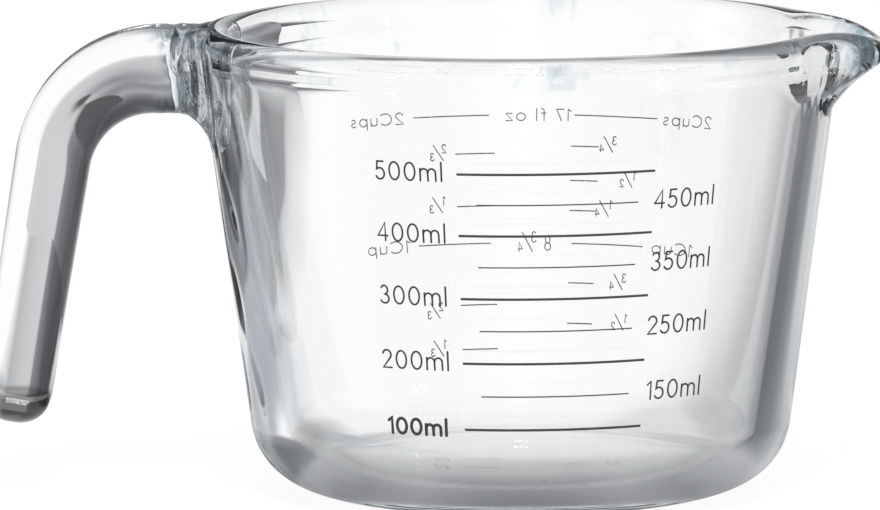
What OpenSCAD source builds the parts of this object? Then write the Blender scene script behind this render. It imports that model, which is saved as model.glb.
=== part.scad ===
// Pressed-glass measuring jug, about half a litre.
// Millimetres, +Z up. The origin is the middle of the flat base, the spout points along +X
// and the handle along -X. The millilitre scale is on the -Y side, the cup scale on the +Y side.

/* [Bowl] */
// Height from the table to the top of the rim
jug_h = 90; // [80:0.2:110]
// Radius of the outer wall's cone, carried down to the table
base_r = 51; // [46:0.5:56]
// Lean of the wall away from upright, in degrees
wall_flare = 7.6; // [5:0.2:10]
// Thickness of the wall at the height of the rim
wall_t = 5.4; // [3.8:0.1:6.2]
// Thickness of the wall carried down to the table
wall_low_t = 6.6; // [4.4:0.1:7.6]
// Thickness of the base
base_t = 4.9; // [3.6:0.1:7]
// Radius of the outer corner between the base and the wall
corner_r = 14.2; // [10:0.2:18]
// Radius of the inner corner between the base and the wall
inner_corner_r = 10; // [6:0.5:13]

/* [Rim] */
// Radius of the rounded rim, half its thickness
rim_r = 3.2; // [2.6:0.1:3.8]
// Height over which the thick rim runs into the inner wall
rim_blend_h = 4.5; // [2:0.5:7]

/* [Spout] */
// How far the spout stands out past the round rim
spout_reach = 9.6; // [7:0.2:12]
// Height of the spout, from its root on the wall to the rim
spout_h = 16.4; // [13:0.2:20]
// Height over which the spout leans out to its full reach
spout_rise = 12.6; // [9:0.2:14]
// How far the pouring lip dips below the rim
spout_dip = 3.1; // [1:0.1:4]
// Half the angle that the spout takes up around the rim, in degrees
spout_half_angle = 29; // [22:1:34]

/* [Handle] */
// Thickness of the bar where it leaves the root, seen from the side
arm_t = 16.5; // [14:0.1:18]
// Width of the bar where it leaves the root, seen from above
arm_w = 19.4; // [15:0.2:21]
// Thickness of the leg at its top
leg_t = 14.7; // [12:0.1:16]
// Width of the leg at its top
leg_w = 18; // [14:0.2:20]
// Thickness of the leg at its lower end
leg_end_t = 13.5; // [11:0.1:15]
// Width of the leg at its lower end
leg_end_w = 16.2; // [13:0.2:18]
// Radius of the bend along the middle of the bar
bend_r = 20.6; // [16:0.2:23]
// Drop of the bar's top below the top of the rim, where the bend starts
arm_drop = 0.1; // [0.1:0.1:2]
// Outward lean of the leg, in degrees
leg_lean = 9.6; // [5:0.2:13]
// Height of the leg's free end above the table
leg_clear = 12.4; // [6:0.2:24]
// Length of the rounded free end
leg_dome = 6.1; // [4:0.1:7]

/* [Handle root] */
// Length over which the root widens from the arm to the wall
root_len = 8.4; // [7:0.2:14]
// Height of the root on the wall
root_h = 24.3; // [19:0.1:27]
// Width of the root where it meets the rim
root_w = 45; // [32:1:48]
// Depth of the root's top edge below the top of the rim
root_drop = 0.2; // [0.2:0.1:1.2]
// Gap at the weld between the root and the wall
weld_gap = 0.1; // [0.08:0.02:0.2]

/* [Printed scales] */
// Height of the lowest millilitre line, the one for 100
scale_low_z = 18.8; // [16:0.2:24]
// Height of the highest millilitre line, the one for 500
scale_high_z = 68.2; // [56:0.2:72]
// Thickness of the fired enamel
enamel_t = 0.12; // [0.1:0.02:0.2]
// Gap between the enamel and the cone of the wall
enamel_gap = 0.02; // [0.01:0.01:0.05]
// Height of a thick line
major_line_h = 0.46; // [0.3:0.02:0.8]
// Height of a thin line
minor_line_h = 0.24; // [0.2:0.02:0.4]

/* [Hidden] */
glass_colour = [0.80, 0.88, 0.88, 0.45];
enamel_colour = [0.13, 0.13, 0.14];

// Columns of faces round the bowl, closer together at the spout and the handle
bowl_columns = 96;
crowding_share = 0.45;
corner_steps = 7;
spout_rows = 8;
rim_steps = 12;
blend_steps = 4;

// Points round each corner of the handle's section, and how much of its half width and of its
// half thickness a corner rounds off
corner_points = 7;
section_points = 4 * corner_points;
corner_w_share = 0.55;
corner_t_share = 0.66;
// How square the root's outline on the wall is
root_power = 4.6;
root_steps = 8;
bend_steps = 11;
dome_steps = 6;
// How sharply the root ends on the wall: 1 would be a feather edge
root_edge_share = 0.95;
// Width of the root's lower end, as a share of its width at the rim
root_foot_share = 0.5;
// How soon the root reaches its full width on the way up: below 1 is sooner
root_shoulder_power = 0.65;
// Rings of the root's hollowed end face, as shares of its outline
weld_face_shares = [0.25, 0.5, 0.75, 0.92];
// Part of the spout's slope that stays straight
spout_straight_share = 0.6;
// How far the spout's foot climbs towards its sides, as a share of the lean-out's height
spout_curl_share = 0.54;
// Height over which the lip dips, as a share of the spout's height
spout_dip_share = 0.74;
// How sharply the spout narrows to its tip, and the dip to the lip
spout_power = 3;
dip_power = 2.7;

// Angles of the printed lines, in degrees from the middle of the front and of the back
major_line_angles = [-11.3, 25];
minor_line_angles = [-7.8, 22];
cup_line_angles = [[-18.5, -6.3], [11.5, 26.5]];
third_line_angles = [-13.7, -5.2];
quarter_line_angles = [10.9, 16.9];
// Steps between the lowest and the highest millilitre line
scale_steps = 8;
// How much the steps shorten on the way up, where the bowl is wider
step_shrink_share = 0.056;
// The marks for cups, as shares of the millilitre scale above its lowest line
whole_cup_shares = [0.398, 0.924];
third_cup_shares = [-0.013, 0.157, 0.549, 0.764];
quarter_cup_shares = [0.085, 0.242, 0.53, 0.652, 0.794];

function mix(a, b, t) = a + (b - a) * t;
function limit(t) = min(1, max(0, t));
function ease(t) = t * t * (3 - 2 * t);

// The wall: an outer cone, and an inner one at the wall's thickness
slope = tan(wall_flare);
inner_slope = slope + (wall_low_t - wall_t) / cos(wall_flare) / jug_h;
inner_flare = atan(inner_slope);
function wall_r(z) = base_r + slope * z;
function inner_r(z) = base_r - wall_low_t / cos(wall_flare) + inner_slope * z;

// Centres of the round corners and of the rim, as [radius, height]
corner_c = [wall_r(corner_r) - corner_r / cos(wall_flare), corner_r];
inner_corner_z = base_t + inner_corner_r;
inner_corner_c = [inner_r(inner_corner_z) - inner_corner_r / cos(inner_flare), inner_corner_z];
rim_z = jug_h - rim_r;
rim_c = [wall_r(rim_z) - rim_r / cos(wall_flare), rim_z];
rim_swell = inner_r(rim_z) - (rim_c[0] - rim_r);
spout_low_z = jug_h - spout_h;

function arc(c, r, a0, a1, n) = [for (i = [0:n]) let(a = mix(a0, a1, i / n)) c + r * [cos(a), sin(a)]];

// Inner wall with the swelling under the rim
function inner_point(z) =
    let(t = limit((z - (rim_z - rim_blend_h)) / rim_blend_h)) [inner_r(z) - rim_swell * ease(t), z];

// The bowl's outline, from the table up the outside, over the rim and down the inside
rim_foot_z = rim_z - rim_r * sin(wall_flare);
blend_low_z = rim_z - rim_blend_h;
bowl_outline = concat(
    arc(corner_c, corner_r, -90, -wall_flare, corner_steps),
    [for (i = [0:spout_rows - 1]) let(z = mix(spout_low_z, rim_foot_z, i / spout_rows)) [wall_r(z), z]],
    arc(rim_c, rim_r, -wall_flare, 180, rim_steps),
    [for (i = [1:blend_steps]) inner_point(mix(rim_z, blend_low_z, i / blend_steps))],
    [for (i = [1:spout_rows - 1]) inner_point(mix(blend_low_z, spout_low_z, i / (spout_rows - 1)))],
    arc(inner_corner_c, inner_corner_r, -inner_flare, -90, corner_steps)
);

// The spout: how strongly it pulls at an angle round the rim and at a height
function spout_round(a) = abs(a) < spout_half_angle ? pow(cos(90 * a / spout_half_angle), spout_power) : 0;
function spout_lean(z, a) =
    let(climb = spout_rise * spout_curl_share * pow(limit(abs(a) / spout_half_angle), 2),
        t = limit((z - spout_low_z - climb) / (spout_rise - climb)))
    mix(ease(t), t, spout_straight_share);
function spout_sink(z) =
    let(h = spout_h * spout_dip_share) ease(limit((z - (jug_h - h)) / h));

function bowl_point(p, a) =
    let(turn = a > 180 ? a - 360 : a,
        pull = spout_round(turn),
        r = p[0] + spout_reach * pull * spout_lean(p[1], turn),
        z = p[1] - spout_dip * pow(pull, dip_power) * spout_sink(p[1]))
    [r * cos(a), r * sin(a), z];

function column_angle(i) =
    let(u = i / bowl_columns) 360 * u - crowding_share * 90 / PI * sin(720 * u);

// A closed skin over rings of equal length, with a point at each end
module skin(rings, first, last) {
    n = len(rings[0]);
    m = len(rings);
    end = n * m + 1;
    points = concat([first], [for (ring = rings) for (p = ring) p], [last]);
    faces = concat(
        [for (i = [0:n - 1]) [0, 1 + i, 1 + (i + 1) % n]],
        [for (j = [0:m - 2]) for (i = [0:n - 1])
            let(a = 1 + j * n + i, b = 1 + j * n + (i + 1) % n) each [[a, a + n, b + n], [a, b + n, b]]],
        [for (i = [0:n - 1]) [end, end - n + (i + 1) % n, end - n + i]]
    );
    polyhedron(points, faces);
}

module glass_bowl() {
    rings = [for (p = bowl_outline) [for (i = [0:bowl_columns - 1]) bowl_point(p, column_angle(i))]];
    color(glass_colour) skin(rings, [0, 0, 0], [0, 0, base_t]);
}

// Where the handle's root meets the glass: the cone of the wall, then the shoulder of the rim
function contact_r(z) =
    z < rim_foot_z ? wall_r(z) : rim_c[0] + sqrt(max(0, rim_r * rim_r - pow(z - rim_z, 2)));
function contact_x(y, z) = -sqrt(pow(contact_r(z) + weld_gap, 2) - y * y);

// Heights of the arm and of the root, and the bar's middle line
arm_z = jug_h - arm_drop - arm_t / 2;
root_top_z = jug_h - root_drop;
root_low_z = root_top_z - root_h;
root_x = -(wall_r(arm_z) + root_len);
bend_c = [root_x, arm_z - bend_r];
bend_turn = 90 - leg_lean;
function along(t) = [-cos(t), -sin(t)];
function across(t) = [-sin(t), cos(t)];
leg_top = bend_c + bend_r * across(bend_turn);
leg_len = (leg_top[1] - leg_clear) / cos(leg_lean);
leg_shares = [0.25, 0.5, 0.75];

// A point of the bar's section, a rectangle with round corners, as shares of its half width and
// half thickness
function section(i) =
    let(corner = floor(i / corner_points),
        a = 90 * (corner + (i % corner_points) / (corner_points - 1)),
        right = corner == 0 || corner == 3 ? 1 : -1,
        up = corner < 2 ? 1 : -1)
    [right * (1 - corner_w_share) + corner_w_share * cos(a),
     up * (1 - corner_t_share) + corner_t_share * sin(a)];

// A ring of the bar round a middle point, square to the direction that it has turned to
function bar_ring(c, turn, w, t) = [for (i = [0:section_points - 1])
    let(s = section(i), q = c + across(turn) * s[1] * t / 2) [q[0], s[0] * w / 2, q[1]]];

// The root's outline on the wall, squarer than the bar and narrower towards its foot, shrunk by a share
function soft(v) = sign(v) * pow(abs(v), 2 / root_power);
function root_shape(i) = let(a = 360 * (i + 0.5) / section_points) [soft(cos(a)), soft(sin(a))];
function root_spot(i, share) =
    let(s = root_shape(i) * share,
        up = (s[1] + 1) / 2,
        y = s[0] * root_w / 2 * mix(root_foot_share, 1, pow(up, root_shoulder_power)),
        z = mix(root_low_z, root_top_z, up))
    [y, z];
function weld_ring(share) = [for (i = [0:section_points - 1])
    let(p = root_spot(i, share)) [contact_x(p[0], p[1]), p[0], p[1]]];

// The root's rings, which leave the wall in a hollow curve and run out into the arm
function hollow(u) = (1 - sqrt(1 - pow(root_edge_share * u, 2))) / (1 - sqrt(1 - pow(root_edge_share, 2)));
function root_ring(u) = [for (i = [0:section_points - 1])
    let(s = section(i), p = root_spot(i, 1), f = hollow(u),
        y = mix(s[0] * arm_w / 2, p[0], f),
        z = mix(arm_z + s[1] * arm_t / 2, p[1], f),
        x = mix(root_x, contact_x(p[0], p[1]), u))
    [x, y, z]];

handle_rings = concat(
    [for (share = weld_face_shares) weld_ring(share)],
    [for (j = [0:root_steps]) root_ring(sin(90 * (1 - j / root_steps)))],
    [for (j = [0:bend_steps]) let(k = j / bend_steps, turn = bend_turn * k)
        bar_ring(bend_c + bend_r * across(turn), turn, mix(arm_w, leg_w, k), mix(arm_t, leg_t, k))],
    [for (k = leg_shares)
        bar_ring(leg_top + along(bend_turn) * (leg_len - leg_dome) * k, bend_turn,
            mix(leg_w, leg_end_w, k), mix(leg_t, leg_end_t, k))],
    [for (j = [0:dome_steps - 1]) let(a = 90 * j / dome_steps)
        bar_ring(leg_top + along(bend_turn) * (leg_len - leg_dome * (1 - sin(a))), bend_turn,
            leg_end_w * cos(a), leg_end_t * cos(a))]
);

module handle() {
    weld_mid = [contact_x(0, mix(root_low_z, root_top_z, 0.5)), 0, mix(root_low_z, root_top_z, 0.5)];
    tip = leg_top + along(bend_turn) * leg_len;
    color(glass_colour) skin(handle_rings, weld_mid, [tip[0], 0, tip[1]]);
}

// Height of a mark at a share of the scale, with steps that shorten evenly
function mark_z(share) =
    mix(scale_low_z, scale_high_z, share + step_shrink_share * share * (1 - share));

// One printed line, on the front (side -90) or on the back (side 90), between two angles
// from the middle of that side towards the spout
module printed_line(z, h, side, angles) {
    start = side < 0 ? side + angles[0] : side - angles[1];
    low_r = wall_r(z - h / 2) + enamel_gap;
    high_r = wall_r(z + h / 2) + enamel_gap;
    rotate([0, 0, start])
        rotate_extrude(angle = angles[1] - angles[0], $fn = 360)
            polygon([[low_r, z - h / 2], [low_r + enamel_t, z - h / 2],
                     [high_r + enamel_t, z + h / 2], [high_r, z + h / 2]]);
}

module millilitre_lines() {
    color(enamel_colour)
        for (i = [0:2:scale_steps])
            printed_line(mark_z(i / scale_steps), major_line_h, -90, major_line_angles);
}

module half_step_lines() {
    color(enamel_colour)
        for (i = [1:2:scale_steps])
            printed_line(mark_z(i / scale_steps), minor_line_h, -90, minor_line_angles);
}

module cup_marks(shares, angles) {
    color(enamel_colour)
        for (share = shares)
            printed_line(mark_z(share), minor_line_h, 90, angles);
}

module cup_lines() {
    for (angles = cup_line_angles)
        cup_marks(whole_cup_shares, angles);
}

module third_cup_lines() {
    cup_marks(third_cup_shares, third_line_angles);
}

module quarter_cup_lines() {
    cup_marks(quarter_cup_shares, quarter_line_angles);
}

glass_bowl();
handle();
millilitre_lines();
half_step_lines();
cup_lines();
third_cup_lines();
quarter_cup_lines();
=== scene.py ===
"""Clear glass measuring jug with fired enamel scales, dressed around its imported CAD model."""

import math

import bpy
import numpy as np
from bpy.props import FloatProperty, FloatVectorProperty, IntProperty, PointerProperty
from mathutils import Matrix, Vector


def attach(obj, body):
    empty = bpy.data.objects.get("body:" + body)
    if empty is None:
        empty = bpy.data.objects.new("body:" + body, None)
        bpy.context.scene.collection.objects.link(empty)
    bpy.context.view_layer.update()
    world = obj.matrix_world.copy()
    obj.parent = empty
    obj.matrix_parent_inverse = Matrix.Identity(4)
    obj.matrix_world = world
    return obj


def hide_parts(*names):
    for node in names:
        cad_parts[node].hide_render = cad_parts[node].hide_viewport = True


bl_info = {
    "name": "Glass measuring jug",
    "version": (1, 0, 0),
    "blender": (4, 5, 0),
    "location": "3D View > Sidebar > Jug",
    "description": "Builds a pressed-glass measuring jug with enamel scales",
    "category": "Object",
}

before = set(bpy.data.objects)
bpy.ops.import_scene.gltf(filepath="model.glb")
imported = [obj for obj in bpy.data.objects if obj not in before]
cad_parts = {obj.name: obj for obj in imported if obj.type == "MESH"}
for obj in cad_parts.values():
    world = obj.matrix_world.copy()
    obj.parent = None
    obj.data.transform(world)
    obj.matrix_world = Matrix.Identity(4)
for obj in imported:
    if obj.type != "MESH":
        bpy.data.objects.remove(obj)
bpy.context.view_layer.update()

BODY = "root"
GLASS_SLOT = "clear_glass"
ENAMEL_SLOT = "fired_enamel"
# The side of the wall that carries a scale, as the way from the middle along Y
FRONT, BACK = -1, 1
MM = 0.001
PI = math.pi


def number(name, value, text, **more):
    """A number property with a name and a description."""
    return FloatProperty(name=name, description=text, default=value, **more)


def length(name, mm, text):
    """A size property, given in millimetres and kept in metres."""
    return number(name, mm * MM, text, unit="LENGTH", subtype="DISTANCE", precision=5)


def angle(name, degrees, text):
    """An angle property, given in degrees and kept in radians."""
    return number(name, math.radians(degrees), text, unit="ROTATION", subtype="ANGLE")


def colour(name, value, text):
    """A colour property without alpha."""
    return FloatVectorProperty(
        name=name, description=text, default=value, subtype="COLOR", size=3, min=0, max=1)


class BowlSettings(bpy.types.PropertyGroup):
    """Sizes of the bowl, its rim and its spout. They are the same as the CAD solid's."""

    jug_h: length("Height", 90, "From the table to the top of the rim")
    base_r: length("Base radius", 51, "Outer cone's radius, carried down to the table")
    wall_flare: angle("Wall flare", 7.6, "Lean of the wall away from upright")
    wall_t: length("Wall thickness", 5.4, "Thickness of the wall at the height of the rim")
    wall_low_t: length("Low wall thickness", 6.6, "Thickness of the wall carried down to the table")
    base_t: length("Base thickness", 4.9, "Thickness of the base")
    corner_r: length("Outer corner", 14.2, "Round between the base and the outer wall")
    inner_corner_r: length("Inner corner", 10, "Round between the base and the inner wall")
    rim_r: length("Rim radius", 3.2, "Half the thickness of the rounded rim")
    rim_blend_h: length("Rim blend", 4.5, "Height over which the rim runs into the inner wall")
    spout_reach: length("Spout reach", 9.6, "How far the spout stands out past the rim")
    spout_h: length("Spout height", 16.4, "From the spout's root to the rim")
    spout_rise: length("Spout rise", 12.6, "Height over which the spout leans out")
    spout_dip: length("Spout dip", 3.1, "How far the pouring lip dips")
    spout_half_angle: angle("Spout half angle", 29, "Half of the angle that the spout takes up")
    wave: length("Inner waviness", 0.008, "Depth of the pressed glass's faint waves on the inside")
    spout_wave: length("Waviness in the spout", 0.14, "Depth of the folds that bending left inside the spout")
    handle_wave: length("Waviness at the handle", 0.06, "Depth of the dents that the handle's heat left")


class HandleSettings(bpy.types.PropertyGroup):
    """Sizes of the bar handle. They are the same as the CAD solid's, apart from the thinner seam."""

    arm_t: length("Arm thickness", 16.5, "Thickness of the bar where it leaves the root")
    arm_w: length("Arm width", 19.4, "Width of the bar where it leaves the root")
    leg_t: length("Leg thickness", 14.7, "Thickness of the leg at its top")
    leg_w: length("Leg width", 18, "Width of the leg at its top")
    leg_end_t: length("Leg end thickness", 13.5, "Thickness of the leg at its lower end")
    leg_end_w: length("Leg end width", 16.2, "Width of the leg at its lower end")
    bend_r: length("Bend radius", 20.6, "Radius of the bend along the bar's middle")
    arm_drop: length("Arm drop", 0.1, "Drop of the bar's top below the rim")
    leg_lean: angle("Leg lean", 9.6, "Outward lean of the leg")
    leg_clear: length("Leg clearance", 12.4, "Height of the free end above the table")
    leg_dome: length("Leg dome", 6.1, "Length of the rounded free end")
    root_len: length("Root length", 8.4, "Length over which the root widens")
    root_h: length("Root height", 24.3, "Height of the root on the wall")
    root_w: length("Root width", 45, "Width of the root at the rim")
    root_drop: length("Root drop", 0.2, "Depth of the root's top edge below the rim")
    seam: length("Seam", 0.04, "Gap at the seam between the root and the wall")
    seam_wave: length("Seam waviness", 0.12, "Depth of the folds in the root's end face")
    arm_crown: length("Arm crown", 0.13, "Bulge of the arm's flat sides, which fades out down the bend")
    arm_soft: number("Arm rounding", 0.26, "How much rounder the bend is on its inside", subtype="FACTOR")
    melt: length("Melted folds", 0.12, "Depth of the folds in the root's skin")
    bubbles: IntProperty(name="Bubbles", description="Air bubbles caught at the seam", default=90, min=0)


class PrintSettings(bpy.types.PropertyGroup):
    """Sizes of the printed scales."""

    scale_low_z: length("Lowest line", 18.8, "Height of the line for 100 millilitres")
    scale_high_z: length("Highest line", 68.2, "Height of the line for 500 millilitres")
    letter_h: length("Letter height", 3.4, "Height of the scale's figures")
    bold_h: length("Bold letter height", 2.95, "Height of the lowest line's bold figures")
    small_h: length("Small letter height", 2.25, "Height of the cup scale's letters")
    stroke: length("Stroke", 0.37, "Width of a letter's stroke")
    small_stroke: length("Small stroke", 0.24, "Width of a small letter's stroke")
    bold_stroke: length("Bold stroke", 0.6, "Width of a bold letter's stroke")
    film: length("Film", 0.04, "Thickness of the printed film")
    lift: length("Lift", 0.02, "Gap between the film and the wall's cone")
    enamel: colour("Enamel", (0.022, 0.022, 0.025), "Colour of the fired enamel")


class GlassSettings(bpy.types.PropertyGroup):
    """Finish of the glass."""

    ior: number("Index", 1.5, "Refractive index", min=1, max=2)
    bowl_tint: colour("Bowl tint", (0.80, 0.94, 0.95), "What thick glass lets through in the bowl")
    handle_tint: colour("Handle tint", (0.86, 0.94, 0.96), "What thick glass lets through in the handle")
    # The seam and spout tints are partly the glass's own colour and partly painted shade, with paler streaks
    # of painted highlight
    seam_tint_and_shade: colour("Seam tint", (0.46, 0.54, 0.56), "What the melted glass of the root lets through")
    spout_tint_and_shade: colour("Spout tint", (0.70, 0.79, 0.83), "What the bent glass at the spout lets through")
    bowl_density: number("Bowl density", 5, "Strength of the bowl's tint per metre")
    handle_density: number("Handle density", 6, "Strength of the handle's tint per metre")


class StageSettings(bpy.types.PropertyGroup):
    """Camera, floor and light."""

    camera_distance: length("Camera distance", 1523.5, "From the camera to the middle of the jug")
    camera_height: angle("Camera elevation", 7.92, "Angle of the camera above the horizon")
    camera_roll: angle("Camera roll", 0.24, "Turn of the camera about its own axis")
    middle_z: length("Middle height", 44.83, "Height of the point that the camera was measured to")
    aim_x: length("Aim aside", -15.57, "How far the picture's middle lies beside the jug's axis")
    aim_z: length("Aim down", -0.03, "How far the picture's middle lies from the jug's middle")
    lens: number("Lens", 319.8, "Focal length in millimetres", subtype="DISTANCE_CAMERA")
    floor_size: length("Floor size", 6000, "Side of the pale floor")
    floor_gap: length("Floor gap", 0.2, "Depth of the floor below the base")
    card_behind: length("Card distance", 150, "From the jug's axis to the dark card behind the handle")
    card_left: length("Card left", 500, "How far the card reaches away from the jug")
    card_right: length("Card right", 62, "How far the card's nearer edge lies from the middle")
    card_low: length("Card bottom", 32, "Height of the card's lower edge")
    card_top: length("Card top", 320, "Height of the card's upper edge")


# Shares and powers that shape the spout, the bar's corners and the root, the same as in the CAD source
SPOUT_STRAIGHT, SPOUT_CURL, SPOUT_DIP_SHARE, SPOUT_POWER, DIP_POWER = 0.6, 0.54, 0.74, 3.0, 2.7
CORNER_W, CORNER_T, ROOT_POWER, ROOT_EDGE, ROOT_FOOT, ROOT_SHOULDER = 0.55, 0.66, 4.6, 0.95, 0.5, 0.65
# How far the scale's steps shorten on the way up, as a share of the scale
STEP_SHRINK = 0.056

# Rows on each stretch of the bowl's profile, its columns, and how far they crowd towards spout and handle
BASE_ROWS, CORNER_ROWS, WALL_ROWS, RIM_ROWS, INNER_WALL_ROWS, INNER_CORNER_ROWS = 12, 26, 82, 34, 86, 24
COLUMNS, CROWDING = 480, 0.45
# Heights over which the wall's waves fade out below the rim and above the base
RIM_FADE, BASE_FADE = 8 * MM, 6 * MM
# Where the spout's folds start, and the height over which they reach their depth
FOLD_LOW, FOLD_RISE = 73 * MM, 7 * MM

# Points on each corner and each flat of the bar's section, and rings on each stretch of the handle
CORNER_POINTS, SIDE_POINTS = 26, 15
FACE_RINGS, ROOT_RINGS, BEND_RINGS, LEG_RINGS, DOME_RINGS = 24, 40, 60, 28, 22
# How much later the root's underside widens: share of its length, depth where that starts, height it takes
LATER = ((0.16, -2 * MM, 4 * MM), (0.12, 3 * MM, 5 * MM))
# Air bubbles in the root: spread across it and up it in shares, radius and depth in millimetres, and stretch
BUBBLE_ACROSS, BUBBLE_UP = (-0.26, 0.26), (0.38, 0.85)
BUBBLE_R, BUBBLE_DEPTH, BUBBLE_STRETCH = (0.08, 0.3), (0.1, 1.6), (1, 2.4)


def mix(a, b, t):
    """The value at a share of the way from a to b."""
    return a + (b - a) * t


def limit(t):
    """The value, kept from 0 to 1."""
    return np.clip(t, 0.0, 1.0)


def ease(t):
    """A share from 0 to 1 that starts and stops softly."""
    return t * t * (3 - 2 * t)


def between(a, b, n):
    """Evenly spaced values between two ends, without the ends."""
    return np.linspace(a, b, n + 2)[1:-1]


def arc(centre, r, a0, a1, n):
    """Points on an arc between two angles in radians."""
    a = np.linspace(a0, a1, n + 1)
    return np.stack([centre[0] + r * np.cos(a), centre[1] + r * np.sin(a)], -1)


class Wall:
    """The bowl's profile: cone, round corners, rim, and where things meet it."""

    def __init__(self, s):
        self.s = s
        self.slope = math.tan(s.wall_flare)
        self.cos = math.cos(s.wall_flare)
        self.inner_slope = self.slope + (s.wall_low_t - s.wall_t) / self.cos / s.jug_h
        self.inner_flare = math.atan(self.inner_slope)
        self.rim_z = s.jug_h - s.rim_r
        self.rim_c = (self.outer(self.rim_z) - s.rim_r / self.cos, self.rim_z)
        self.rim_foot_z = self.rim_z - s.rim_r * math.sin(s.wall_flare)
        self.blend_low_z = self.rim_z - s.rim_blend_h
        self.spout_low_z = s.jug_h - s.spout_h
        self.rim_swell = self.inner(self.rim_z) - (self.rim_c[0] - s.rim_r)

    def outer(self, z):
        """Radius of the outer cone at a height."""
        return self.s.base_r + self.slope * z

    def inner(self, z):
        """Radius of the inner cone at a height."""
        return self.s.base_r - self.s.wall_low_t / self.cos + self.inner_slope * z

    def inner_points(self, z):
        """Points of the inner wall, which swells into the rim."""
        t = limit((z - self.blend_low_z) / self.s.rim_blend_h)
        return np.stack([self.inner(z) - self.rim_swell * ease(t), z], -1)

    def contact(self, z):
        """Radius of the glass that the handle's root meets: the cone, then the rim's shoulder."""
        s = self.s
        shoulder = self.rim_c[0] + np.sqrt(np.maximum(0, s.rim_r ** 2 - (z - self.rim_z) ** 2))
        return np.where(z < self.rim_foot_z, self.outer(z), shoulder)

    def outline(self):
        """Rows from the middle of the underside, up the outside, over the rim and down the inside, and
        the number of rows before the inside starts."""
        s = self.s
        corner = (self.outer(s.corner_r) - s.corner_r / self.cos, s.corner_r)
        inner_z = s.base_t + s.inner_corner_r
        inner_corner = (self.inner(inner_z) - s.inner_corner_r / math.cos(self.inner_flare), inner_z)
        base = between(0, 1, BASE_ROWS)
        wall_z = between(corner[1] + s.corner_r * math.sin(-s.wall_flare), self.rim_foot_z, WALL_ROWS)
        inner_low = inner_z + s.inner_corner_r * math.sin(-self.inner_flare)
        outside = np.concatenate([
            np.stack([base * corner[0], base * 0], -1),
            arc(corner, s.corner_r, -PI / 2, -s.wall_flare, CORNER_ROWS),
            np.stack([self.outer(wall_z), wall_z], -1),
            arc(self.rim_c, s.rim_r, -s.wall_flare, PI, RIM_ROWS),
        ])
        inside = np.concatenate([
            self.inner_points(between(self.rim_z, inner_low, INNER_WALL_ROWS)),
            arc(inner_corner, s.inner_corner_r, -self.inner_flare, -PI / 2, INNER_CORNER_ROWS),
            np.stack([base[::-1] * inner_corner[0], base * 0 + s.base_t], -1),
        ])
        return np.concatenate([outside, inside]), len(outside)


def from_spout(a):
    """The angle between a direction and the spout's middle, whichever way round is shorter."""
    return np.abs((a + PI) % (2 * PI) - PI)


def spout(s, wall, rows, a):
    """Pulls the rows out into the beak and dips its lip. Angles are in radians from the spout's middle."""
    r, z = rows[:, :1], rows[:, 1:]
    part = limit(from_spout(a) / s.spout_half_angle)
    pull = np.cos(part * PI / 2) ** SPOUT_POWER
    climb = s.spout_rise * SPOUT_CURL * part ** 2
    t = limit((z - wall.spout_low_z - climb) / (s.spout_rise - climb))
    sink_h = s.spout_h * SPOUT_DIP_SHARE
    sink = ease(limit((z - (s.jug_h - sink_h)) / sink_h))
    radius = r + s.spout_reach * pull * mix(ease(t), t, SPOUT_STRAIGHT)
    return radius, z - s.spout_dip * pull ** DIP_POWER * sink


def unevenness(s, wall, a, z):
    """How far the glass's inside lies out of true: faint waves, dents by the handle, folds in the spout."""
    calm = ease(limit((wall.blend_low_z - z) / RIM_FADE)) * ease(limit((z - s.base_t) / BASE_FADE))
    bent = limit(1 - from_spout(a) / s.spout_half_angle)
    worked = ease(limit((z - FOLD_LOW) / FOLD_RISE)) * ease(limit(bent / 0.5))
    return calm * (s.wave * waves(a, z) + s.handle_wave * dents(a, z)) + s.spout_wave * worked * pinches(a, z)


def waves(a, z):
    """Faint broad waves that a plunger leaves in pressed glass, from -1 to 1, made of a few fixed ripples."""
    streaks = np.sin(7 * a + 30 * z + 0.7) + 0.6 * np.sin(13 * a - 50 * z + 2.1)
    patches = np.sin(9 * a + 150 * z) * np.sin(5 * a - 120 * z + 1.3)
    return (0.6 * streaks + 0.4 * patches) / 1.4


def dents(a, z):
    """Closer dents in the wall beside the handle, from -1 to 1, fading out away from it."""
    beside = ease(limit((0.75 - np.abs((a % (2 * PI)) - PI)) / 0.5))
    ripples = np.sin(15 * a + 90 * z + 0.4) * np.sin(8 * a - 260 * z + 1.0)
    return beside * (ripples + 0.5 * np.sin(26 * a + 190 * z + 2.0)) / 1.5


def pinches(a, z):
    """Small crossed folds that bending leaves in the spout, mostly from 0 to 1."""
    crossed = np.sin(70 * a + 500 * z + 0.4) * np.sin(45 * a - 650 * z + 1.1)
    return 0.5 + 0.35 * (crossed + 0.4 * np.sin(110 * a + 900 * z))


def new_mesh(name, verts, faces, smooth=True):
    """A mesh object in the scene, shaded smooth or flat."""
    mesh = bpy.data.meshes.new(name)
    mesh.from_pydata([tuple(v) for v in verts], [], faces)
    mesh.validate()
    mesh.polygons.foreach_set("use_smooth", [smooth] * len(mesh.polygons))
    mesh.update()
    piece = bpy.data.objects.new(name, mesh)
    bpy.context.scene.collection.objects.link(piece)
    return piece


def skin(rings, first, last):
    """Vertices and faces of a closed skin over rings of equal length, with a point at each end."""
    m, n = rings.shape[:2]
    verts = np.concatenate([[first], rings.reshape(-1, 3), [last]])
    end = n * m + 1
    j, i = np.meshgrid(np.arange(m - 1), np.arange(n), indexing="ij")
    a, b = 1 + j * n + i, 1 + j * n + (i + 1) % n
    quads = np.stack([a, b, b + n, a + n], -1).reshape(-1, 4).tolist()
    k = np.arange(n)
    caps = np.stack([k * 0, 1 + (k + 1) % n, 1 + k], -1).tolist()
    caps += np.stack([k * 0 + end, end - n + k, end - n + (k + 1) % n], -1).tolist()
    return verts, outward(verts, quads + caps)


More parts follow.
